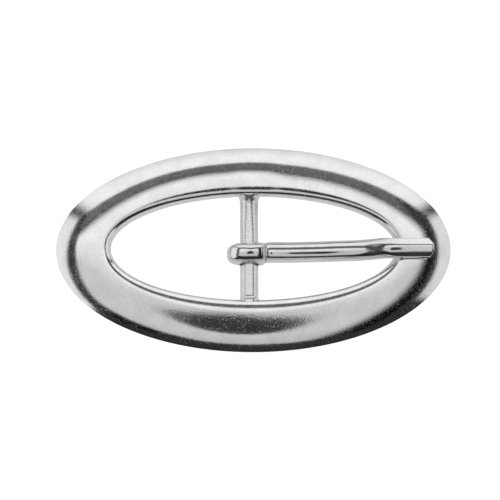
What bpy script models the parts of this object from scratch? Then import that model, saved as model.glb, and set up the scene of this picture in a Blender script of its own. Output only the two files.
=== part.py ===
"""Oval centre-bar belt buckle: a crowned oval frame with a cast-in bar, and a prong that swings on the bar.

Lengths are in metres. The buckle lies on its back: X runs along the strap, Y along the bar, Z up,
and the flat back of the frame is at Z = 0 with the middle of the oval at the origin.
"""

import math

import bmesh
import bpy

MM = 0.001

# Frame in plan
FRAME_LENGTH = 76.8 * MM
FRAME_WIDTH = 40.9 * MM
OPENING_LENGTH = 55.3 * MM
OPENING_WIDTH = 20.9 * MM

# Frame in section: an undercut outer edge, a crown that rises to the lip, and a broad lip round the opening.
# The crown is a little lower, and the lip a little deeper, at the two ends of the oval than along its sides.
RIM_HEIGHT = 5.0 * MM
END_DROP = 0.3 * MM
EDGE_HEIGHT = 2.3 * MM
EDGE_LAND = 0.3 * MM
EDGE_UNDERCUT = 0.7 * MM
LIP_WIDTH = 2.6 * MM
LIP_DEPTH = 1.6 * MM
LIP_END_DEPTH = 2.3 * MM
BACK_RELIEF_HEIGHT = 2.0 * MM
BACK_RELIEF_WIDTH = 2.0 * MM
CROWN_FULLNESS = 2.3

# Centre bar, six-sided in section and flared into the rim at both ends
BAR_WIDTH = 3.7 * MM
BAR_DEPTH = 1.7 * MM
BAR_FLAT = 1.4 * MM
BAR_FLARE = 0.6 * MM
BAR_ROOT = 1.6 * MM
BAR_SHIFT = -0.8 * MM

# Prong: where it sits on the bar, and the hook that wraps the bar
PRONG_SHIFT = -1.2 * MM
PRONG_YAW = math.radians(0.8)
BORE_CLEARANCE = 0.15 * MM
HOOK_WIDTH = 4.4 * MM
HOOK_CROWN = 1.9 * MM
HOOK_NOSE = 2.2 * MM
HOOK_TAIL = 0.5 * MM
HOOK_FLOOR_GAP = 0.1 * MM
HOOK_ROUND = 1.8 * MM
SLIT_WIDTH = 0.4 * MM
SLIT_ANGLE = math.radians(-28)
CUT_OVERRUN = 1.0 * MM

# Prong: the shank, level at the hook, rising to a crest at the end of the opening, then falling to the tip
REST_GAP = 0.3 * MM
SHANK_ROOT_LIFT = -0.1 * MM
SHANK_RISE_START = 17.5 * MM
TIP_LENGTH = 7.2 * MM
TIP_FALL = math.radians(4)
SHANK_ROOT_WIDTH = 3.75 * MM
SHANK_ROOT_DEPTH = 2.15 * MM
SHANK_ROOT_FACET = 0.85 * MM
TIP_WIDTH = 4.05 * MM
TIP_DEPTH = 2.0 * MM
TIP_FACET = 0.5 * MM
TOP_FLAT = 1.3 * MM
SIDE_BREAK = 0.25 * MM
TIP_CHAMFER_LENGTH = 1.0 * MM
TIP_CHAMFER_WIDTH = 1.2 * MM

# Facets
OVAL_SEGMENTS = 96
CROWN_STEPS = 10
LIP_STEPS = 6
FLARE_STEPS = 4
HOOK_SEGMENTS = 48
HOOK_ROUND_SEGMENTS = 5
SHANK_RISE_STEPS = 8
SMOOTH_ANGLE = math.radians(35)

# Finish
NICKEL_COLOUR = (0.72, 0.72, 0.71)
FRAME_ROUGHNESS = 0.16
PRONG_ROUGHNESS = 0.12

bar_radius = BAR_WIDTH / 2
bore_radius = bar_radius + BORE_CLEARANCE
hook_front = bore_radius + HOOK_NOSE
hook_top = bore_radius + HOOK_CROWN
hook_bottom = -(bore_radius + HOOK_TAIL)
bar_axis_height = HOOK_FLOOR_GAP - hook_bottom
lip_height = RIM_HEIGHT - END_DROP
crest_reach = OPENING_LENGTH / 2 - BAR_SHIFT
crest_lift = lip_height + REST_GAP + LIP_WIDTH * math.tan(TIP_FALL) - bar_axis_height
prong_reach = crest_reach + TIP_LENGTH


def clear_scene():
    for obj in list(bpy.data.objects):
        bpy.data.objects.remove(obj, do_unlink=True)


def new_collection(name, shown):
    collection = bpy.data.collections.new(name)
    collection.hide_render = not shown
    bpy.context.scene.collection.children.link(collection)
    return collection


def nickel(name, roughness):
    material = bpy.data.materials.new(name)
    material.use_nodes = True
    shader = material.node_tree.nodes["Principled BSDF"]
    shader.inputs["Base Color"].default_value = (*NICKEL_COLOUR, 1.0)
    shader.inputs["Metallic"].default_value = 1.0
    shader.inputs["Roughness"].default_value = roughness
    return material


def place(obj, collection, parent=None):
    """Move an object from the collections it is in to one collection, under an optional parent."""
    for old in list(obj.users_collection):
        old.objects.unlink(obj)
    collection.objects.link(obj)
    obj.parent = parent
    return obj


def as_cutter(obj, collection, parent=None):
    place(obj, collection, parent)
    obj.hide_render = True
    obj.display_type = "WIRE"
    return obj


def loft(name, loops, ring=False):
    """A closed solid through loops of equal point counts. A ring joins the last loop to the first."""
    mesh = bpy.data.meshes.new(name)
    bm = bmesh.new()
    rows = [[bm.verts.new(point) for point in loop] for loop in loops]
    count = len(rows[0])
    pairs = list(zip(rows, rows[1:]))
    if ring:
        pairs.append((rows[-1], rows[0]))
    else:
        bm.faces.new(rows[0])
        bm.faces.new(rows[-1])
    for near, far in pairs:
        for i in range(count):
            j = (i + 1) % count
            bm.faces.new((near[i], near[j], far[j], far[i]))
    bmesh.ops.recalc_face_normals(bm, faces=bm.faces)
    bm.to_mesh(mesh)
    bm.free()
    return bpy.data.objects.new(name, mesh)


def boolean(obj, other, operation):
    modifier = obj.modifiers.new(other.name, "BOOLEAN")
    modifier.operation = operation
    modifier.solver = "EXACT"
    modifier.object = other


def finish(obj, material):
    obj.data.materials.append(material)
    obj.data.shade_smooth()
    obj.data.set_sharp_from_angle(angle=SMOOTH_ANGLE)


def oval(semi_length, semi_width, height, end_drop=0.0):
    """Points round an oval at a height, lower by the end drop at the two ends of its length."""
    points = []
    for i in range(OVAL_SEGMENTS):
        turn = math.tau * i / OVAL_SEGMENTS
        along = math.cos(turn)
        points.append((semi_length * along, semi_width * math.sin(turn), height - end_drop * along**2))
    return points


def outer_oval(inset, height):
    return oval(FRAME_LENGTH / 2 - inset, FRAME_WIDTH / 2 - inset, height)


def opening_oval(offset, height, end_drop=0.0):
    return oval(OPENING_LENGTH / 2 + offset, OPENING_WIDTH / 2 + offset, height, end_drop)


def crown_oval(across):
    """The crown from the outer edge (0) to where the lip begins (1), level at the lip."""
    rise = 1 - (1 - across) ** CROWN_FULLNESS
    semi_axes = [
        outer / 2 + (opening / 2 + LIP_WIDTH - outer / 2) * across
        for outer, opening in ((FRAME_LENGTH, OPENING_LENGTH), (FRAME_WIDTH, OPENING_WIDTH))
    ]
    return oval(*semi_axes, EDGE_HEIGHT + (RIM_HEIGHT - EDGE_HEIGHT) * rise, END_DROP * rise)


def rim_loops():
    """The rim's section as ovals, from the outer foot over the crown and the lip to the back."""
    loops = [outer_oval(EDGE_UNDERCUT, 0), outer_oval(0, EDGE_HEIGHT - EDGE_LAND)]
    loops += [crown_oval(i / CROWN_STEPS) for i in range(CROWN_STEPS + 1)]
    for i in range(1, LIP_STEPS + 1):
        turn = math.pi / 2 * i / LIP_STEPS
        down = 1 - math.cos(turn)
        end_drop = END_DROP + (LIP_END_DEPTH - LIP_DEPTH) * down
        loops.append(opening_oval(LIP_WIDTH * (1 - math.sin(turn)), RIM_HEIGHT - LIP_DEPTH * down, end_drop))
    loops.append(opening_oval(0, BACK_RELIEF_HEIGHT))
    loops.append(opening_oval(BACK_RELIEF_WIDTH, 0))
    return loops


def bar_section(y, growth):
    """The six-sided section, widest at its middle, with every side moved out by the growth."""
    wide = BAR_WIDTH / 2 + growth
    flat = BAR_FLAT / 2 + growth
    deep = BAR_DEPTH / 2 + growth
    corners = [(wide, 0), (flat, deep), (-flat, deep), (-wide, 0), (-flat, -deep), (flat, -deep)]
    return [(BAR_SHIFT + x, y, bar_axis_height + z) for x, z in corners]


def bar_loops():
    """Sections from the root in one side of the rim to the root in the other, flared at the walls."""
    half = []
    wall = OPENING_WIDTH / 2
    for i in range(FLARE_STEPS + 1):
        turn = math.pi / 2 * i / FLARE_STEPS
        half.append((wall - BAR_FLARE * (1 - math.cos(turn)), BAR_FLARE * (1 - math.sin(turn))))
    half.insert(0, (wall + BAR_ROOT, BAR_FLARE))
    loops = [bar_section(y, growth) for y, growth in half]
    loops += [bar_section(-y, growth) for y, growth in reversed(half)]
    return loops


def build_frame(parts, cutters):
    frame = place(loft("frame", rim_loops(), ring=True), parts)
    bar = as_cutter(loft("centre_bar", bar_loops()), cutters)
    boolean(frame, bar, "UNION")
    finish(frame, nickel("frame_nickel", FRAME_ROUGHNESS))


def shank_section(x, lift, width, depth, facet):
    """Flat sole, upright sides, a sloping facet along each shoulder and a narrow flat top."""
    half = width / 2
    flat = min(TOP_FLAT / 2, half - SIDE_BREAK)
    outline = [
        (half - SIDE_BREAK, 0),
        (half, SIDE_BREAK),
        (half, depth - facet),
        (flat, depth),
        (-flat, depth),
        (-half, depth - facet),
        (-half, SIDE_BREAK),
        (-half + SIDE_BREAK, 0),
    ]
    return [(x, y, lift + z) for y, z in outline]


def sole_lift(x):
    """Height of the shank's sole over the bar's axis at a distance from it."""
    if x > crest_reach:
        return crest_lift - (x - crest_reach) * math.tan(TIP_FALL)
    along = max(0.0, (x - SHANK_RISE_START) / (crest_reach - SHANK_RISE_START))
    ease = along * along * (3 - 2 * along)
    return SHANK_ROOT_LIFT + (crest_lift - SHANK_ROOT_LIFT) * ease


def shank_loops():
    rise_step = (crest_reach - SHANK_RISE_START) / SHANK_RISE_STEPS
    places = [bore_radius]
    places += [SHANK_RISE_START + rise_step * i for i in range(SHANK_RISE_STEPS + 1)]
    places += [prong_reach - TIP_CHAMFER_LENGTH, prong_reach]
    loops = []
    for x in places:
        along = min(1.0, (x - bore_radius) / (crest_reach - bore_radius))
        width = SHANK_ROOT_WIDTH + (TIP_WIDTH - SHANK_ROOT_WIDTH) * along
        depth = SHANK_ROOT_DEPTH + (TIP_DEPTH - SHANK_ROOT_DEPTH) * along
        facet = SHANK_ROOT_FACET + (TIP_FACET - SHANK_ROOT_FACET) * along
        if x == prong_reach:
            width -= 2 * TIP_CHAMFER_WIDTH
        loops.append(shank_section(x, sole_lift(x), width, depth, facet))
    return loops


def cylinder_across(name, radius_x, radius_z, length, centre_z):
    """A solid round or oval drum lying along Y."""
    bpy.ops.mesh.primitive_cylinder_add(
        vertices=HOOK_SEGMENTS, radius=1.0, depth=length, rotation=(math.pi / 2, 0, 0)
    )
    drum = bpy.context.object
    drum.name = name
    drum.scale = (radius_x, radius_z, 1.0)
    drum.location = (0, 0, centre_z)
    bpy.ops.object.transform_apply(location=True, rotation=True, scale=True)
    return drum


def slit_block():
    """A thin block through the wall of the hook, where its tail closes up to the shank."""
    length = hook_front + hook_top
    bpy.ops.mesh.primitive_cube_add(size=1.0, rotation=(0, -SLIT_ANGLE, 0))
    block = bpy.context.object
    block.name = "hook_slit"
    block.scale = (length, HOOK_WIDTH + 2 * CUT_OVERRUN, SLIT_WIDTH)
    block.location = (length / 2 * math.cos(SLIT_ANGLE), 0, length / 2 * math.sin(SLIT_ANGLE))
    bpy.ops.object.transform_apply(location=True, rotation=True, scale=True)
    return block


def build_prong(parts, cutters):
    pivot = bpy.data.objects.new("prong_pivot", None)
    pivot.location = (BAR_SHIFT, PRONG_SHIFT, bar_axis_height)
    pivot.rotation_euler = (0, 0, PRONG_YAW)
    parts.objects.link(pivot)

    hook_height = hook_top - hook_bottom
    hook_middle = (hook_top + hook_bottom) / 2
    prong = cylinder_across("prong", hook_front, hook_height / 2, HOOK_WIDTH, hook_middle)
    place(prong, parts, pivot)
    rounding = prong.modifiers.new("rounded rims", "BEVEL")
    rounding.limit_method = "ANGLE"
    rounding.width = HOOK_ROUND
    rounding.segments = HOOK_ROUND_SEGMENTS

    shank = as_cutter(loft("prong_shank", shank_loops()), cutters, pivot)
    bore_length = HOOK_WIDTH + 2 * CUT_OVERRUN
    bore = as_cutter(cylinder_across("hook_bore", bore_radius, bore_radius, bore_length, 0), cutters, pivot)
    slit = as_cutter(slit_block(), cutters, pivot)
    boolean(prong, shank, "UNION")
    boolean(prong, bore, "DIFFERENCE")
    boolean(prong, slit, "DIFFERENCE")
    finish(prong, nickel("prong_nickel", PRONG_ROUGHNESS))


def main():
    clear_scene()
    parts = new_collection("belt_buckle", shown=True)
    cutters = new_collection("cutters", shown=False)
    build_frame(parts, cutters)
    build_prong(parts, cutters)


main()
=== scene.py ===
"""Looks of the oval centre-bar buckle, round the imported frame. Lengths are in metres."""

import math

import bpy
from mathutils import Matrix, Vector


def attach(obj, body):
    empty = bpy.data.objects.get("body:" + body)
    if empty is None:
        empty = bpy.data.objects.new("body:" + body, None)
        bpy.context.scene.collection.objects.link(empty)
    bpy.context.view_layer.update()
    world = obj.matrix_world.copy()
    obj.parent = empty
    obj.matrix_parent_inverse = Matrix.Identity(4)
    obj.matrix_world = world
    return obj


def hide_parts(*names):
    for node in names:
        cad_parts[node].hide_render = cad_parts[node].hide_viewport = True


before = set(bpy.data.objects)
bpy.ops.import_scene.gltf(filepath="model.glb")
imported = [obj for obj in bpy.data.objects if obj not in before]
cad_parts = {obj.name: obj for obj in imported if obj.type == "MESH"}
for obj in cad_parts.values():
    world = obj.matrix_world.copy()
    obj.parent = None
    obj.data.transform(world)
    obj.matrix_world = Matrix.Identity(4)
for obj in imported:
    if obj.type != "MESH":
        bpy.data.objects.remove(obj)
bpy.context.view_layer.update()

MM = 0.001

# Frame casting: sizes in plan, then heights along the sides and at the two ends
FRAME_LENGTH = 76.8 * MM
FRAME_WIDTH = 40.9 * MM
OPENING_LENGTH = 55.3 * MM
OPENING_WIDTH = 20.9 * MM
SIDE_LIP_WIDTH = 2.185 * MM
END_LIP_WIDTH = 1.6 * MM
LIP_SHIFT = -0.45 * MM
EDGE_HEIGHT = 2.3 * MM
EDGE_LAND = 0.08 * MM
EDGE_UNDERCUT = 0.7 * MM
SIDE_RISE = 2.7 * MM
SIDE_INNER_RISE = 0.41 * MM
RIGHT_END_RISE = 2.48 * MM
SIDE_FULLNESS = 3.02
END_FULLNESS = 2.08
SIDE_LIP_DEPTH = 1.4 * MM
END_LIP_DEPTH = 1.8 * MM
BACK_RELIEF_HEIGHT = 2.6 * MM
# Hollows polished into the far side: depth at the lip, place along the frame, half length
FAR_HOLLOWS = ((0.26 * MM, -14.0 * MM, 11.0 * MM), (0.24 * MM, 0.5 * MM, 4.5 * MM))
# Slope of the left end inward from its edge: millimetres, rise for each millimetre
LEFT_END_SLOPES = ((0.0, 0.58), (1.0, 0.51), (2.19, 0.437), (3.75, 0.348), (5.5, 0.2), (7.5, 0.08), (9.15, 0.03))
BACK_RELIEF_WIDTH = 2.0 * MM
RIM_POINTS = 256
CROWN_ROWS = 30
LIP_ROWS = 14
WALL_ROWS = 3

# Centre bar: a half-round bar with its flat side down
BAR_WIDTH = 3.56 * MM
BAR_TOP = 3.45 * MM
BAR_FAR_FLAT = 0.02 * MM
BAR_MIDDLE_FLAT = 0.9 * MM
BAR_NEAR_FLAT = 0.5 * MM
BAR_ROOT_FLAT = 1.6 * MM
BAR_FAR_RIDGE = 0.4
BAR_FAR_SINK = 0.45 * MM
BAR_ROOT_SPREAD = 1.1 * MM
BAR_WAIST = 1.9 * MM
BAR_FLOOR = 1.75 * MM
BAR_ROOT = 1.6 * MM
BAR_SHIFT = -0.8 * MM
BAR_HEIGHT = 2.6 * MM
BAR_FILLET = 1.3 * MM
BAR_FILLET_RISE = 1.0 * MM
BAR_FILLET_SIDE = 0.5 * MM
BAR_POINTS = 64
JOURNAL_RADIUS = 1.85 * MM
JOURNAL_LENGTH = 3.3 * MM
JOURNAL_SOFT_EDGE = 0.25 * MM
FILLET_ROWS = 8

# Prong: the pivot, the knob round the bar and the shank
PRONG_SHIFT = -1.2 * MM
PRONG_YAW = math.radians(0.8)
KNOB_LENGTH = 8.6 * MM
KNOB_WIDTH = 4.6 * MM
KNOB_RISE = 3.15 * MM
KNOB_FALL = 2.5 * MM
KNOB_FORWARD = -0.05 * MM
KNOB_ASIDE = 0.1 * MM
KNOB_SQUARENESS = 3.0
KNOB_CREST_FORWARD = 0.09
KNOB_FACE = 2.95 * MM
KNOB_FACE_ROUND = 0.4 * MM
KNOB_FACE_ROWS = 6
BORE_RADIUS = 2.0 * MM
SLIT_WIDTH = 0.4 * MM
SLIT_ANGLE = math.radians(-28)
SHANK_FAR_HALF = 2.38 * MM
SHANK_NEAR_HALF = 1.76 * MM
SHANK_ASIDE = 0.3 * MM
SHANK_HEIGHT = 2.15 * MM
SHANK_SKIRT = 0.05 * MM
SHANK_START = 2.75 * MM
SHANK_LEVEL = 4.5 * MM
SHANK_NOSE = 2.05 * MM
SHANK_NOSE_TAPER = 0.1
# Slope of the prong along its reach: millimetres from the bar's axis, degrees
SHANK_SLOPES = ((2.75, -6.5), (6.7, -3.0), (8.5, 0.0), (12.5, 1.5), (16.0, 6.5), (20.3, 10.0), (21.9, 19.0), (22.7, 24.0), (24.0, 26.0),
                (25.6, 26.0), (26.2, 24.0), (27.3, 8.0), (29.6, 1.0), (31.0, -4.0), (35.65, -4.0))
CREST_START = 27.3 * MM
SIDE_STEP_END = 17.0 * MM
CREST_LIFT = 2.58 * MM
CREST_HEIGHT = 2.0 * MM
TIP_REACH = 35.65 * MM
TIP_ROUND = 0.5 * MM
TIP_ROUND_DROP = 0.2 * MM
TIP_HALF = 1.9 * MM
FACET_START = 25.0 * MM
FACET_FULL = 30.5 * MM
FACET_CRISPNESS = 22.0
SHANK_POINTS = 128

# Camera and light tent
CAMERA_TILT = math.radians(14)
CAMERA_ROLL = math.radians(-0.15)
CAMERA_DISTANCE = 0.45
CAMERA_LENS = 165.8
VIEW_CENTRE = (-0.645 * MM, 0.37 * MM)


def tan(degrees):
    return math.tan(math.radians(degrees))


def deselect_all():
    for obj in bpy.context.selected_objects:
        obj.select_set(False)


def start_piece(name):
    """Name the primitive just added and open its mesh with everything selected."""
    piece = bpy.context.object
    piece.name = name
    piece.data.name = name
    bpy.ops.object.transform_apply(location=True, rotation=True, scale=True)
    bpy.ops.object.mode_set(mode="EDIT")
    bpy.ops.mesh.select_all(action="SELECT")
    return piece


def close_piece():
    bpy.ops.mesh.select_all(action="SELECT")
    bpy.ops.mesh.normals_make_consistent(inside=False)
    bpy.ops.object.mode_set(mode="OBJECT")


def select_where(piece, kind, test):
    """Select the vertices or faces of the open mesh whose place or normal passes the test."""
    bpy.ops.mesh.select_all(action="DESELECT")
    bpy.ops.object.mode_set(mode="OBJECT")
    for element in getattr(piece.data, kind):
        element.select = test(element)
    bpy.ops.object.mode_set(mode="EDIT")


def make_active(piece):
    deselect_all()
    piece.select_set(True)
    bpy.context.view_layer.objects.active = piece


def join_or_cut(piece, other, operation):
    make_active(piece)
    modifier = piece.modifiers.new(other.name, "BOOLEAN")
    modifier.operation = operation
    modifier.solver = "EXACT"
    modifier.object = other
    bpy.ops.object.modifier_apply(modifier=modifier.name)
    bpy.data.objects.remove(other, do_unlink=True)


def add_up(slopes, reach):
    """Height won at a distance along a list of (distance, slope), with the slope changing evenly between them."""
    height = 0.0
    for (start, slope), (end, next_slope) in zip(slopes, slopes[1:]):
        if reach <= start:
            break
        run = min(reach, end) - start
        height += run * (slope + (next_slope - slope) * run / (end - start) / 2)
    return height


def rim_rows():
    """Rows of the rim's section: half length and width, shift, share of the hollows, heights at sides, left end, right end."""
    outer = (FRAME_LENGTH / 2, FRAME_WIDTH / 2)
    opening = (OPENING_LENGTH / 2, OPENING_WIDTH / 2)
    lip = (opening[0] + END_LIP_WIDTH, opening[1] + SIDE_LIP_WIDTH)
    land = EDGE_HEIGHT - EDGE_LAND
    rows = [(outer[0] - EDGE_UNDERCUT, outer[1] - EDGE_UNDERCUT, 0.0, 0.0, 0.0, 0.0, 0.0)]
    rows.append((*outer, 0.0, 0.0, land, land, land))
    for i in range(CROWN_ROWS + 1):
        across = i / CROWN_ROWS
        half_length = outer[0] + (lip[0] - outer[0]) * across
        half_width = outer[1] + (lip[1] - outer[1]) * across
        side = EDGE_HEIGHT + SIDE_INNER_RISE * across
        side += (SIDE_RISE - SIDE_INNER_RISE) * (1 - (1 - across) ** SIDE_FULLNESS)
        left = EDGE_HEIGHT + add_up(LEFT_END_SLOPES, (outer[0] - half_length) / MM) * MM
        right = EDGE_HEIGHT + RIGHT_END_RISE * (1 - (1 - across) ** END_FULLNESS)
        rows.append((half_length, half_width, LIP_SHIFT * across, across ** 2, side, left, right))
    tops = rows[-1][4:]
    lows = (tops[0] - SIDE_LIP_DEPTH, tops[1] - END_LIP_DEPTH, tops[2] - END_LIP_DEPTH)
    for i in range(1, LIP_ROWS + 1):
        turn = math.pi / 2 * i / LIP_ROWS
        out = 1 - math.sin(turn)
        plan = (opening[0] + END_LIP_WIDTH * out, opening[1] + SIDE_LIP_WIDTH * out, LIP_SHIFT * out)
        rows.append((*plan, 1.0, *(low + (top - low) * math.cos(turn) for top, low in zip(tops, lows))))
    for i in range(1, WALL_ROWS + 1):
        share = i / WALL_ROWS
        rows.append((*opening, 0.0, 1 - share, *(low + (BACK_RELIEF_HEIGHT - low) * share for low in lows)))
    rows.append((opening[0] + BACK_RELIEF_WIDTH, opening[1] + BACK_RELIEF_WIDTH, 0.0, 0.0, 0.0, 0.0, 0.0))
    return rows


def far_hollow(along):
    return sum(depth * math.exp(-((along - place) / half) ** 4) for depth, place, half in FAR_HOLLOWS)


def model_rim():
    """Extrude an oval row by row over the crown and the lip, close it at the back, then set its ends and hollows."""
    rows = rim_rows()
    deselect_all()
    bpy.ops.mesh.primitive_circle_add(vertices=RIM_POINTS, radius=1.0)
    rim = start_piece("frame_casting")
    length, width, height = rows[0][0], rows[0][1], rows[0][4]
    bpy.ops.transform.resize(value=(length, width, 1.0), center_override=(0, 0, 0))
    bpy.ops.transform.translate(value=(0, 0, height))
    for row in rows[1:]:
        bpy.ops.mesh.extrude_edges_move()
        bpy.ops.transform.resize(value=(row[0] / length, row[1] / width, 1.0), center_override=(0, 0, 0))
        bpy.ops.transform.translate(value=(0, 0, row[4] - height))
        length, width, height = row[0], row[1], row[4]
    bpy.ops.object.mode_set(mode="OBJECT")
    for vertex in rim.data.vertices:
        half_length, half_width, shift, hollow, side, left, right = rows[vertex.index // RIM_POINTS]
        end = left if vertex.co.x < 0 else right
        vertex.co.z += (end - side) * (vertex.co.x / half_length) ** 2
        if vertex.co.y > 0:
            vertex.co.z -= far_hollow(vertex.co.x) * hollow * (vertex.co.y / half_width) ** 2
        vertex.co.y += shift
    bpy.ops.object.mode_set(mode="EDIT")
    bpy.ops.mesh.select_all(action="DESELECT")
    bpy.ops.mesh.select_non_manifold()
    bpy.ops.mesh.bridge_edge_loops()
    close_piece()
    return rim


def bar_rows():
    """Rows of the bar from the near wall of the opening to the far one: place, growth in width, growth in height."""
    wall = OPENING_WIDTH / 2
    near = [(-wall - BAR_ROOT, 1.0, 1.0), (-wall, 1.0, 1.0)]
    for i in range(1, FILLET_ROWS + 1):
        away = i / FILLET_ROWS
        round_in = 1 - math.sqrt(1 - (1 - away) ** 2)
        near.append((-wall + BAR_FILLET * away, round_in, round_in))
    far = [(wall - place * MM, wide, high) for place, wide, high in FAR_FILLET]
    return near + far


# Far fillet of the bar: millimetres from the wall, growth in width, growth in height
FAR_FILLET = ((7.5, 0.0, 0.0), (5.0, 0.0, 0.0), (3.2, 0.0, 0.0), (2.3, 0.0, 0.0), (1.7, 0.0, 0.0), (1.47, 0.0, 0.01),
              (1.2, 0.01, 0.06), (1.0, 0.03, 0.13), (0.77, 0.08, 0.27), (0.5, 0.16, 0.5), (0.25, 0.32, 0.73), (0.1, 0.55, 0.87),
              (0.0, 0.85, 0.95), (-0.1, 0.95, 1.03), (-0.2, 1.0, 1.09), (-0.3, 1.0, 1.14), (-0.39, 1.0, 1.17), (-0.6, 1.0, 1.22),
              (-1.2, 1.0, 1.22))


def bar_flat(along):
    """Width of the flat on top of the bar: narrow at the far end, widest by the prong."""
    reach = along / (OPENING_WIDTH / 2)
    end = BAR_FAR_FLAT if reach > 0 else BAR_NEAR_FLAT
    flat = BAR_MIDDLE_FLAT + (end - BAR_MIDDLE_FLAT) * min(1.0, abs(reach))
    spread = 1 - (OPENING_WIDTH / 2 - along) / BAR_ROOT_SPREAD
    return flat + (BAR_ROOT_FLAT - flat) * min(1.0, max(0.0, spread)) ** 1.5


def model_bar():
    """A circle pressed flat underneath, extruded across the opening, swollen at both walls and flattened on top."""
    rows = bar_rows()
    radius = BAR_WIDTH / 2
    deselect_all()
    bpy.ops.mesh.primitive_circle_add(vertices=BAR_POINTS, radius=radius, rotation=(math.pi / 2, 0, 0))
    bar = start_piece("centre_bar")
    select_where(bar, "vertices", lambda vertex: vertex.co.z > 1e-7)
    bpy.ops.transform.resize(value=(1, 1, (BAR_TOP - BAR_WAIST) / radius), center_override=(0, 0, 0))
    select_where(bar, "vertices", lambda vertex: vertex.co.z < -1e-7)
    bpy.ops.transform.resize(value=(1, 1, (BAR_WAIST - BAR_FLOOR) / radius), center_override=(0, 0, 0))
    bpy.ops.mesh.select_all(action="SELECT")
    place, wide_growth, high_growth = rows[0]
    bpy.ops.transform.translate(value=(BAR_SHIFT, place, BAR_WAIST))
    wide, high = bar_growth(wide_growth, high_growth)
    bpy.ops.transform.resize(value=(wide, 1, high), center_override=(BAR_SHIFT, 0, BAR_FLOOR))
    bpy.ops.mesh.edge_face_add()
    for next_place, wide_growth, high_growth in rows[1:]:
        bpy.ops.mesh.extrude_region_move(TRANSFORM_OT_translate={"value": (0, next_place - place, 0)})
        next_wide, next_high = bar_growth(wide_growth, high_growth)
        change = (next_wide / wide, 1, next_high / high)
        bpy.ops.transform.resize(value=change, center_override=(BAR_SHIFT, 0, BAR_FLOOR))
        place, wide, high = next_place, next_wide, next_high
    bpy.ops.object.mode_set(mode="OBJECT")
    for vertex in bar.data.vertices:
        aside = vertex.co.x - BAR_SHIFT
        far = min(1.0, max(0.0, vertex.co.y / (OPENING_WIDTH / 2)))
        if abs(aside) > 1e-6 and vertex.co.z > BAR_WAIST:
            flat = bar_flat(vertex.co.y) / 2
            ridge = min(1.0, abs(aside) / radius) ** (BAR_FAR_RIDGE * far)
            vertex.co.x = BAR_SHIFT + aside * ridge * (1 - flat / radius) + math.copysign(flat, aside)
        vertex.co.z -= BAR_FAR_SINK * far ** 1.5
    bpy.ops.object.mode_set(mode="EDIT")
    close_piece()
    return bar


def model_journal():
    """The round place on the bar that the prong turns on, just inside the knob."""
    deselect_all()
    bpy.ops.mesh.primitive_cylinder_add(
        vertices=96, radius=JOURNAL_RADIUS, depth=JOURNAL_LENGTH,
        location=(BAR_SHIFT, PRONG_SHIFT, BAR_HEIGHT), rotation=(math.pi / 2, 0, 0)
    )
    journal = start_piece("bar_journal")
    bpy.ops.mesh.select_mode(type="FACE")
    select_where(journal, "polygons", lambda face: abs(face.normal.y) > 0.9)
    bpy.ops.mesh.bevel(offset=JOURNAL_SOFT_EDGE, segments=4, profile=0.5, affect="EDGES")
    bpy.ops.mesh.select_mode(type="VERT")
    close_piece()
    return journal


def bar_growth(wide, high):
    """Width and height of a section of the bar against the plain one."""
    return 1 + wide * 2 * BAR_FILLET_SIDE / BAR_WIDTH, 1 + high * BAR_FILLET_RISE / (BAR_TOP - BAR_FLOOR)


def pivot_matrix():
    place = Matrix.Translation((BAR_SHIFT, PRONG_SHIFT, BAR_HEIGHT))
    return place @ Matrix.Rotation(PRONG_YAW, 4, "Z")


def climb(reach):
    """Height that the prong has won over its root at a distance from the bar's axis."""
    return add_up([(place, tan(slope)) for place, slope in SHANK_SLOPES], reach / MM) * MM


CREST_CLIMB = max(climb(step * 0.01 * MM) for step in range(2900, 3100))


def shank_lift(reach):
    """Height of the shank's sole over the bar's axis; the crest stands at its set height."""
    return CREST_LIFT + climb(reach) - CREST_CLIMB


def shank_places():
    """Sections of the shank: distance from the bar's axis, width and height against the plain one, drop at the nose."""
    places = []
    rows = 8
    for i in range(rows + 1):
        back = (SHANK_LEVEL - SHANK_START) * (1 - i / rows)
        drop = SHANK_NOSE - math.sqrt(SHANK_NOSE ** 2 - back ** 2)
        places.append((SHANK_LEVEL - back, 1 - SHANK_NOSE_TAPER * drop / SHANK_HEIGHT, 1.0, drop))
    for first, last, step in ((SHANK_LEVEL, 14.5 * MM, 0.5 * MM), (14.5 * MM, TIP_REACH - TIP_ROUND, 0.2 * MM),
                              (TIP_REACH - TIP_ROUND, TIP_REACH, TIP_ROUND / 8)):
        rows = round((last - first) / step)
        for i in range(1, rows + 1):
            reach = first + (last - first) * i / rows
            along = min(1.0, (reach - SHANK_LEVEL) / (CREST_START - SHANK_LEVEL))
            places.append((reach, 1.0, 1 + (CREST_HEIGHT / SHANK_HEIGHT - 1) * along, 0.0))
    return places


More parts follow.
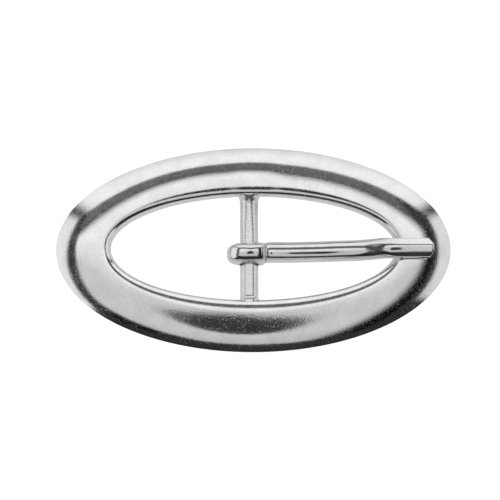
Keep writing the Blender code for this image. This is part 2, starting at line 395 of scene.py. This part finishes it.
def model_shank():
    """A half-round bar extruded along the rise to the crest and down to the tip, then filed flat at the tip."""
    places = shank_places()
    deselect_all()
    bpy.ops.mesh.primitive_circle_add(vertices=SHANK_POINTS, radius=1.0, rotation=(0, math.pi / 2, 0))
    shank = start_piece("prong_shank")
    bpy.ops.transform.resize(value=(1, 1, SHANK_HEIGHT - SHANK_SKIRT), center_override=(0, 0, 0))
    for side, half in ((1, SHANK_FAR_HALF), (-1, SHANK_NEAR_HALF)):
        select_where(shank, "vertices", lambda vertex: vertex.co.y * side > 1e-6)
        bpy.ops.transform.resize(value=(1, half, 1), center_override=(0, 0, 0))
    bpy.ops.mesh.select_all(action="SELECT")
    bpy.ops.transform.translate(value=(0, 0, SHANK_SKIRT))
    select_where(shank, "vertices", lambda vertex: vertex.co.z < SHANK_SKIRT - 1e-7)
    bpy.ops.transform.resize(value=(1, 1, 0), center_override=(0, 0, 0))
    bpy.ops.mesh.select_all(action="SELECT")
    reach, wide, high, drop = places[0]
    lift = shank_lift(reach) - drop
    bpy.ops.transform.resize(value=(1, wide, high), center_override=(0, 0, 0))
    bpy.ops.transform.translate(value=(reach, 0, lift))
    bpy.ops.mesh.edge_face_add()
    for next_reach, next_wide, next_high, drop in places[1:]:
        next_lift = shank_lift(next_reach) - drop
        bpy.ops.mesh.extrude_region_move(TRANSFORM_OT_translate={"value": (next_reach - reach, 0, next_lift - lift)})
        change = (1, next_wide / wide, next_high / high)
        bpy.ops.transform.resize(value=change, center_override=(next_reach, 0, next_lift))
        reach, lift, wide, high = next_reach, next_lift, next_wide, next_high
    bpy.ops.object.mode_set(mode="OBJECT")
    file_tip(shank)
    set_aside(shank)
    bpy.ops.object.mode_set(mode="EDIT")
    cut_tip_corners()
    close_piece()
    return shank


# Flats filed on the tip: slope across the prong, and distance of the flat from the middle of the sole
TIP_FLATS = ((90.0, 1.95 * MM), (26.0, 1.92 * MM), (-8.0, 1.904 * MM), (-39.0, 1.858 * MM), (-90.0, 1.84 * MM))


def tip_radius(across, up):
    """Distance of the filed tip's surface from the middle of the sole, in one direction."""
    total = 0.0
    for slope, distance in TIP_FLATS:
        turn = math.radians(slope)
        toward = across * math.sin(turn) + up * math.cos(turn)
        total += max(0.0, toward / distance) ** FACET_CRISPNESS
    return total ** (-1 / FACET_CRISPNESS)


def file_tip(shank):
    """Move the points of the tip from the half round onto its flats, easing in over the crest."""
    for vertex in shank.data.vertices:
        ease = min(1.0, max(0.0, (vertex.co.x - FACET_START) / (FACET_FULL - FACET_START)))
        ease = ease * ease * (3 - 2 * ease)
        sole = shank_lift(vertex.co.x)
        across = vertex.co.y
        up = vertex.co.z - sole
        far = math.hypot(across, up)
        if ease == 0.0 or far < 1e-7:
            continue
        if up > 1e-6:
            change = 1 + ease * (tip_radius(across / far, up / far) / far - 1)
        else:
            side = math.copysign(1.0, across)
            half = SHANK_FAR_HALF if side > 0 else SHANK_NEAR_HALF
            change = 1 + ease * (tip_radius(side, 0.0) / half - 1)
        into_end = min(TIP_ROUND, max(0.0, vertex.co.x - (TIP_REACH - TIP_ROUND)))
        change *= 1 - TIP_ROUND_DROP / TIP_HALF * (1 - math.sqrt(1 - (into_end / TIP_ROUND) ** 2))
        vertex.co.y = across * change
        vertex.co.z = sole + up * change


def set_aside(shank):
    """Move the shank a little toward the far side, easing back to the middle at the crest."""
    for vertex in shank.data.vertices:
        left = (CREST_START - vertex.co.x) / (CREST_START - SIDE_STEP_END)
        vertex.co.y += SHANK_ASIDE * min(1.0, max(0.0, left))


def cut_tip_corners():
    """Chamfer the two corners of the tip's end."""
    for side, slope, half_end in ((1, 54.5, 0.5 * MM), (-1, 58, 0.5 * MM)):
        turn = math.radians(slope)
        normal = (math.sin(turn), side * math.cos(turn), 0)
        corner = (TIP_REACH, side * half_end, 0)
        bpy.ops.mesh.select_all(action="SELECT")
        bpy.ops.mesh.bisect(plane_co=corner, plane_no=normal, use_fill=True, clear_outer=True)


def model_knob():
    """A ball drawn out into a blunt loaf round the bar, cut square where the shank leaves it and eased there."""
    deselect_all()
    bpy.ops.mesh.primitive_uv_sphere_add(segments=128, ring_count=96, radius=1.0)
    knob = start_piece("prong_casting")
    bpy.ops.object.mode_set(mode="OBJECT")
    for vertex in knob.data.vertices:
        out = math.hypot(vertex.co.x, vertex.co.y)
        if out > 1e-6:
            fullness = abs(vertex.co.x / out) ** KNOB_SQUARENESS + abs(vertex.co.y / out) ** KNOB_SQUARENESS
            vertex.co.x *= fullness ** (-1 / KNOB_SQUARENESS)
            vertex.co.y *= fullness ** (-1 / KNOB_SQUARENESS)
        vertex.co.x += KNOB_CREST_FORWARD * (1 - vertex.co.x ** 2)
        vertex.co.z *= KNOB_RISE if vertex.co.z > 0 else KNOB_FALL
    bpy.ops.object.mode_set(mode="EDIT")
    bpy.ops.mesh.select_all(action="SELECT")
    bpy.ops.transform.resize(value=(KNOB_LENGTH / 2, KNOB_WIDTH / 2, 1), center_override=(0, 0, 0))
    bpy.ops.transform.translate(value=(KNOB_FORWARD, KNOB_ASIDE, 0))
    start = KNOB_FACE - KNOB_FACE_ROUND
    bpy.ops.mesh.bisect(plane_co=(start, 0, 0), plane_no=(1, 0, 0), clear_outer=True)
    bpy.ops.mesh.select_all(action="DESELECT")
    bpy.ops.mesh.select_non_manifold()
    across = KNOB_WIDTH / 2
    wide = across
    for i in range(1, KNOB_FACE_ROWS + 1):
        turn = math.pi / 2 * i / KNOB_FACE_ROWS
        place = KNOB_FACE - KNOB_FACE_ROUND * (1 - math.sin(turn))
        next_wide = across - KNOB_FACE_ROUND * (1 - math.cos(turn))
        bpy.ops.mesh.extrude_edges_move()
        bpy.ops.transform.translate(value=(place - start, 0, 0))
        change = next_wide / wide
        bpy.ops.transform.resize(value=(1, change, change), center_override=(place, KNOB_ASIDE, 0))
        start, wide = place, next_wide
    bpy.ops.mesh.edge_face_add()
    close_piece()
    return knob


def bore_tool():
    deselect_all()
    bpy.ops.mesh.primitive_cylinder_add(
        vertices=96, radius=BORE_RADIUS, depth=2 * KNOB_WIDTH, rotation=(math.pi / 2, 0, 0)
    )
    tool = start_piece("bore_tool")
    close_piece()
    return tool


def slit_tool():
    deselect_all()
    length = KNOB_LENGTH
    middle = (length / 2 * math.cos(SLIT_ANGLE), 0, length / 2 * math.sin(SLIT_ANGLE))
    bpy.ops.mesh.primitive_cube_add(size=1.0, location=middle, rotation=(0, -SLIT_ANGLE, 0))
    bpy.context.object.scale = (length, 2 * KNOB_WIDTH, SLIT_WIDTH)
    tool = start_piece("slit_tool")
    close_piece()
    return tool


def model_prong():
    knob = model_knob()
    join_or_cut(knob, model_shank(), "UNION")
    join_or_cut(knob, bore_tool(), "DIFFERENCE")
    join_or_cut(knob, slit_tool(), "DIFFERENCE")
    knob.data.transform(pivot_matrix())
    return knob


def smooth(piece, degrees):
    make_active(piece)
    bpy.ops.object.shade_smooth_by_angle(angle=math.radians(degrees))


def bar_span(nodes, links, place):
    """1 on the centre bar, where the strap rubs, and 0 on the rim."""
    axes = nodes.new("ShaderNodeSeparateXYZ")
    links.new(place.outputs["Object"], axes.inputs["Vector"])
    across = soft_span(nodes, links, axes.outputs["X"], BAR_SHIFT - BAR_WIDTH, BAR_SHIFT + BAR_WIDTH, 0.2 * MM)
    along = soft_span(nodes, links, axes.outputs["Y"], -OPENING_WIDTH / 2 + 0.3 * MM, OPENING_WIDTH / 2 + 0.1 * MM, 0.2 * MM)
    both = nodes.new("ShaderNodeMath")
    both.operation = "MULTIPLY"
    links.new(across, both.inputs[0])
    links.new(along, both.inputs[1])
    return both.outputs["Value"]


def flecked(nodes, links, place, cloud, tint):
    """The tint with small dark flecks where the plate is pitted, in loose groups."""
    pits = nodes.new("ShaderNodeTexVoronoi")
    pits.inputs["Scale"].default_value = 1500.0
    links.new(place.outputs["Object"], pits.inputs["Vector"])
    dot = nodes.new("ShaderNodeMapRange")
    dot.inputs["From Min"].default_value = 0.15
    dot.inputs["From Max"].default_value = 0.09
    links.new(pits.outputs["Distance"], dot.inputs["Value"])
    group = nodes.new("ShaderNodeMapRange")
    group.inputs["From Min"].default_value = 0.55
    group.inputs["From Max"].default_value = 0.62
    links.new(cloud.outputs["Fac"], group.inputs["Value"])
    share = nodes.new("ShaderNodeMath")
    share.operation = "MULTIPLY"
    links.new(dot.outputs["Result"], share.inputs[0])
    links.new(group.outputs["Result"], share.inputs[1])
    fleck = nodes.new("ShaderNodeMix")
    fleck.data_type = "RGBA"
    links.new(share.outputs["Value"], fleck.inputs["Factor"])
    links.new(tint.outputs["Color"], fleck.inputs["A"])
    fleck.inputs["B"].default_value = (0.42, 0.42, 0.42, 1)
    return fleck.outputs["Result"]


def nickel_finish(name, bright, roughness, grain, speck, rubbed):
    """Polished nickel plate: a fine orange peel, an uneven polish, and specks where the polish is dull."""
    material = bpy.data.materials.new(name)
    material.use_nodes = True
    nodes = material.node_tree.nodes
    links = material.node_tree.links
    shader = nodes["Principled BSDF"]
    shader.inputs["Metallic"].default_value = 1.0
    place = nodes.new("ShaderNodeTexCoord")

    cloud = nodes.new("ShaderNodeTexNoise")
    cloud.inputs["Scale"].default_value = 260.0
    cloud.inputs["Detail"].default_value = 5.0
    links.new(place.outputs["Object"], cloud.inputs["Vector"])
    tint = nodes.new("ShaderNodeValToRGB")
    tint.color_ramp.elements[0].position = 0.68
    tint.color_ramp.elements[0].color = (bright - 0.04, bright - 0.04, bright - 0.045, 1)
    tint.color_ramp.elements[1].position = 0.92
    tint.color_ramp.elements[1].color = (bright + 0.04, bright + 0.04, bright + 0.035, 1)
    links.new(flecked(nodes, links, place, cloud, tint), shader.inputs["Base Color"])

    polish = nodes.new("ShaderNodeMapRange")
    polish.inputs["From Min"].default_value = 0.3
    polish.inputs["From Max"].default_value = 0.7
    polish.inputs["To Min"].default_value = roughness * 0.85
    polish.inputs["To Max"].default_value = roughness * 1.15
    links.new(cloud.outputs["Fac"], polish.inputs["Value"])
    dust = nodes.new("ShaderNodeTexNoise")
    dust.inputs["Scale"].default_value = 5200.0
    dust.inputs["Detail"].default_value = 1.0
    links.new(place.outputs["Object"], dust.inputs["Vector"])
    dull = nodes.new("ShaderNodeMapRange")
    dull.inputs["From Min"].default_value = 0.56
    dull.inputs["From Max"].default_value = 0.74
    dull.inputs["To Min"].default_value = 0.0
    dull.inputs["To Max"].default_value = speck
    links.new(dust.outputs["Fac"], dull.inputs["Value"])
    rough = nodes.new("ShaderNodeMath")
    rough.operation = "ADD"
    links.new(polish.outputs["Result"], rough.inputs[0])
    links.new(dull.outputs["Result"], rough.inputs[1])
    rub = nodes.new("ShaderNodeMath")
    rub.operation = "MULTIPLY_ADD"
    rub.inputs[1].default_value = rubbed
    links.new(bar_span(nodes, links, place), rub.inputs[0])
    links.new(rough.outputs["Value"], rub.inputs[2])
    links.new(rub.outputs["Value"], shader.inputs["Roughness"])

    peel = nodes.new("ShaderNodeTexNoise")
    peel.inputs["Scale"].default_value = 3200.0
    peel.inputs["Detail"].default_value = 2.0
    links.new(place.outputs["Object"], peel.inputs["Vector"])
    mottle = nodes.new("ShaderNodeMath")
    mottle.operation = "MULTIPLY_ADD"
    mottle.inputs[1].default_value = 0.6
    links.new(peel.outputs["Fac"], mottle.inputs[0])
    links.new(cloud.outputs["Fac"], mottle.inputs[2])
    links.new(mottle.outputs["Value"], tint.inputs["Fac"])
    bump = nodes.new("ShaderNodeBump")
    bump.inputs["Strength"].default_value = grain
    bump.inputs["Distance"].default_value = 0.01 * MM
    links.new(peel.outputs["Fac"], bump.inputs["Height"])
    links.new(bump.outputs["Normal"], shader.inputs["Normal"])
    return material


def dress(piece, finish):
    piece.data.materials.clear()
    piece.data.materials.append(finish)


def soft_span(nodes, links, value, low, high, soft):
    """A node value that is 1 between low and high and falls off softly at both."""
    rise = nodes.new("ShaderNodeMapRange")
    rise.interpolation_type = "SMOOTHSTEP"
    rise.inputs["From Min"].default_value = low - soft
    rise.inputs["From Max"].default_value = low + soft
    links.new(value, rise.inputs["Value"])
    fall = nodes.new("ShaderNodeMapRange")
    fall.interpolation_type = "SMOOTHSTEP"
    fall.inputs["From Min"].default_value = high + soft
    fall.inputs["From Max"].default_value = high - soft
    links.new(value, fall.inputs["Value"])
    both = nodes.new("ShaderNodeMath")
    both.operation = "MULTIPLY"
    links.new(rise.outputs["Result"], both.inputs[0])
    links.new(fall.outputs["Result"], both.inputs[1])
    return both.outputs["Value"]


def glow(name, spans, levels):
    """A card that gives light inside its spans: (direction, low, high, softness) each, at levels set along one axis."""
    material = bpy.data.materials.new(name)
    material.use_nodes = True
    nodes = material.node_tree.nodes
    links = material.node_tree.links
    nodes.clear()
    place = nodes.new("ShaderNodeTexCoord")
    axes = nodes.new("ShaderNodeSeparateXYZ")
    links.new(place.outputs["Object"], axes.inputs["Vector"])
    axis, stops = levels
    along = nodes.new("ShaderNodeMapRange")
    along.inputs["From Min"].default_value = stops[0][0]
    along.inputs["From Max"].default_value = stops[-1][0]
    links.new(axes.outputs[axis], along.inputs["Value"])
    ramp = nodes.new("ShaderNodeValToRGB")
    for position, level in stops[1:-1]:
        ramp.color_ramp.elements.new((position - stops[0][0]) / (stops[-1][0] - stops[0][0]))
    for stop, (position, level) in zip(ramp.color_ramp.elements, stops):
        stop.color = (level, level, level, 1)
    links.new(along.outputs["Result"], ramp.inputs["Fac"])
    strength = None
    for direction, low, high, soft in spans:
        toward = nodes.new("ShaderNodeVectorMath")
        toward.operation = "DOT_PRODUCT"
        toward.inputs[1].default_value = direction
        links.new(place.outputs["Object"], toward.inputs[0])
        span = soft_span(nodes, links, toward.outputs["Value"], low, high, soft)
        if strength is None:
            strength = span
        else:
            both = nodes.new("ShaderNodeMath")
            both.operation = "MULTIPLY"
            links.new(strength, both.inputs[0])
            links.new(span, both.inputs[1])
            strength = both.outputs["Value"]
    emission = nodes.new("ShaderNodeEmission")
    links.new(ramp.outputs["Color"], emission.inputs["Color"])
    links.new(strength, emission.inputs["Strength"])
    output = nodes.new("ShaderNodeOutputMaterial")
    links.new(emission.outputs["Emission"], output.inputs["Surface"])
    return material


def card(name, corners, material):
    mesh = bpy.data.meshes.new(name)
    mesh.from_pydata(corners, [], [tuple(range(len(corners)))])
    obj = bpy.data.objects.new(name, mesh)
    bpy.context.scene.collection.objects.link(obj)
    mesh.materials.append(material)
    return obj


def light_tent():
    """A soft box over the table: a bright roof panel, a dark slot round it and bright walls, open to the front."""
    roof = 0.6
    left, right = -tan(43) * roof, 0.36
    front, back = -tan(57.9) * roof, tan(28.5) * roof
    soft = 0.04
    far_away = 9.0
    slant = 0.1
    roof_right, roof_front, roof_back = right + 0.2, front - soft, back + 2 * soft
    roof_left_front, roof_left_back = (left - soft + slant * end for end in (roof_front, roof_back))
    card("tent_roof",
         [(roof_left_front, roof_front, roof), (roof_right, roof_front, roof),
          (roof_right, roof_back, roof), (roof_left_back, roof_back, roof)],
         glow("roof_glow",
              [((1, -slant, 0), left, far_away, 0.03), ((1, -0.12, 0), -far_away, right, 0.09),
               ((1, 0.876, 0), -0.994, far_away, 0.06), ((0, 1, 0), front, far_away, soft), ((0, 1, 0), -far_away, back, 2 * soft)],
              ("Y", [(front, 0.55), (-tan(28) * roof, 0.68), (tan(4) * roof, 0.68), (tan(14) * roof, 0.92), (back, 1.12)])))
    slot_back = tan(49.5) * roof
    card("tent_slot_back",
         [(left, back, roof + 0.01), (right, back, roof + 0.01), (right, slot_back, roof + 0.01),
          (left, slot_back, roof + 0.01)],
         glow("slot_glow", [((1, 0, 0), left, right, soft)], ("X", [(left, 0.15), (right, 0.13)])))
    wall_left, wall_right, wall_back = -0.9, 0.9, 0.95
    left_end, right_end = wall_left * tan(43), -wall_right * tan(35)
    top_left = -wall_left / tan(53.5)
    top_right = wall_right / tan(49.4)
    top_back = wall_back / tan(49.5)
    left_slant = 0.1
    gap = 0.1
    card("tent_wall_left",
         [(wall_left, left_end, 0), (wall_left, wall_back, 0),
          (wall_left, wall_back, top_left + left_slant * wall_back), (wall_left, left_end, top_left + soft)],
         glow("left_glow",
              [((0, -left_slant, 1), -far_away, top_left, 0.03), ((0, 1, 0), left_end + soft, wall_back - gap, gap)],
              ("Y", [(left_end, 0.9), (wall_back, 0.95)])))
    card("tent_wall_right",
         [(wall_right, right_end, 0), (wall_right, wall_back, 0),
          (wall_right, wall_back, top_right + soft), (wall_right, right_end, top_right + soft)],
         glow("right_glow", [((0, 0, 1), -far_away, top_right, soft), ((0, 1, 0), right_end + soft, wall_back - gap, gap)],
              ("Y", [(right_end, 0.74), (wall_back, 0.86)])))
    card("tent_wall_back",
         [(wall_left, wall_back, 0), (wall_right, wall_back, 0),
          (wall_right, wall_back, top_back + 2 * soft), (wall_left, wall_back, top_back + 2 * soft)],
         glow("back_glow", [((0, 0, 1), -far_away, top_back, 2 * soft), ((1, 0, 0), wall_left + gap, wall_right - gap, gap)],
              ("Z", [(0.0, 0.8), (0.2, 0.97), (0.4, 1.03), (top_back, 1.03)])))


def camera_axes():
    back = Vector((0, -math.sin(CAMERA_TILT), math.cos(CAMERA_TILT)))
    right = Vector((1, 0, 0))
    up = back.cross(right)
    roll_right = right * math.cos(CAMERA_ROLL) + up * math.sin(CAMERA_ROLL)
    roll_up = up * math.cos(CAMERA_ROLL) - right * math.sin(CAMERA_ROLL)
    return roll_right, roll_up, back


def camera_and_shade():
    right, up, back = camera_axes()
    camera = bpy.data.objects.new("camera", bpy.data.cameras.new("camera"))
    bpy.context.scene.collection.objects.link(camera)
    camera.data.lens = CAMERA_LENS
    camera.data.clip_start = 0.01
    place = Matrix((right, up, back)).transposed().to_4x4()
    place.translation = back * CAMERA_DISTANCE + right * VIEW_CENTRE[0] + up * VIEW_CENTRE[1]
    camera.matrix_world = place
    bpy.context.scene.camera = camera
    shade_distance = CAMERA_DISTANCE + 0.012
    centre = (back + right * tan(-1.9) + up * tan(0.3)) * shade_distance
    points = 48
    corners = []
    for i in range(points):
        turn = math.tau * i / points
        wide = tan(8.6) * shade_distance * math.cos(turn)
        high = tan(17.5) * shade_distance * math.sin(turn)
        corners.append(centre + right * wide + up * high)
    dark = bpy.data.materials.new("dark_shade")
    dark.use_nodes = True
    nodes = dark.node_tree.nodes
    nodes.clear()
    emission = nodes.new("ShaderNodeEmission")
    emission.inputs["Strength"].default_value = 0.03
    output = nodes.new("ShaderNodeOutputMaterial")
    dark.node_tree.links.new(emission.outputs["Emission"], output.inputs["Surface"])
    card("camera_shade", [tuple(c) for c in corners], dark)


def table_top():
    material = bpy.data.materials.new("white_table")
    material.use_nodes = True
    nodes = material.node_tree.nodes
    links = material.node_tree.links
    shader = nodes["Principled BSDF"]
    shader.inputs["Base Color"].default_value = (0.8, 0.8, 0.8, 1)
    shader.inputs["Roughness"].default_value = 0.9
    shader.inputs["Specular IOR Level"].default_value = 0.0
    rays = nodes.new("ShaderNodeLightPath")
    mirrored = nodes.new("ShaderNodeMath")
    mirrored.operation = "MAXIMUM"
    links.new(rays.outputs["Is Glossy Ray"], mirrored.inputs[0])
    links.new(rays.outputs["Is Transmission Ray"], mirrored.inputs[1])
    place = nodes.new("ShaderNodeTexCoord")
    distance = nodes.new("ShaderNodeVectorMath")
    distance.operation = "LENGTH"
    links.new(place.outputs["Object"], distance.inputs[0])
    # Painted shadow: in the metal's mirror the table's glow is dimmer near the buckle, in place of the shade the buckle
    # casts on it.
    painted_table_shadow = nodes.new("ShaderNodeMapRange")
    painted_table_shadow.inputs["From Min"].default_value = 0.04
    painted_table_shadow.inputs["From Max"].default_value = 0.3
    painted_table_shadow.inputs["To Min"].default_value = 0.3
    painted_table_shadow.inputs["To Max"].default_value = 0.68
    links.new(distance.outputs["Value"], painted_table_shadow.inputs["Value"])
    dimmed = nodes.new("ShaderNodeMath")
    dimmed.operation = "MULTIPLY"
    links.new(painted_table_shadow.outputs["Result"], dimmed.inputs[1])
    links.new(mirrored.outputs["Value"], dimmed.inputs[0])
    level = nodes.new("ShaderNodeMath")
    level.operation = "MULTIPLY_ADD"
    level.inputs[1].default_value = 0.8
    links.new(rays.outputs["Is Camera Ray"], level.inputs[0])
    links.new(dimmed.outputs["Value"], level.inputs[2])
    shader.inputs["Emission Color"].default_value = (1, 1, 1, 1)
    links.new(level.outputs["Value"], shader.inputs["Emission Strength"])
    side = 3.0
    low = -0.02 * MM
    card("table", [(-side, -side, low), (side, -side, low), (side, side, low), (-side, side, low)], material)


def dark_room():
    world = bpy.data.worlds.new("room")
    bpy.context.scene.world = world
    world.use_nodes = True
    world.node_tree.nodes["Background"].inputs["Color"].default_value = (0.028, 0.028, 0.028, 1)


casting = model_rim()
join_or_cut(casting, model_bar(), "UNION")
join_or_cut(casting, model_journal(), "UNION")
smooth(casting, 30)
dress(casting, nickel_finish("frame_nickel_plate", 0.83, 0.1, 0.65, 0.2, 0.15))
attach(casting, "frame")
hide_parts("frame")

prong = model_prong()
smooth(prong, 30)
dress(prong, nickel_finish("prong_nickel_plate", 0.77, 0.12, 0.15, 0.1, 0.0))
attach(prong, "prong")
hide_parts("prong")

light_tent()
camera_and_shade()
table_top()
dark_room()
bpy.context.scene.view_settings.view_transform = "Standard"
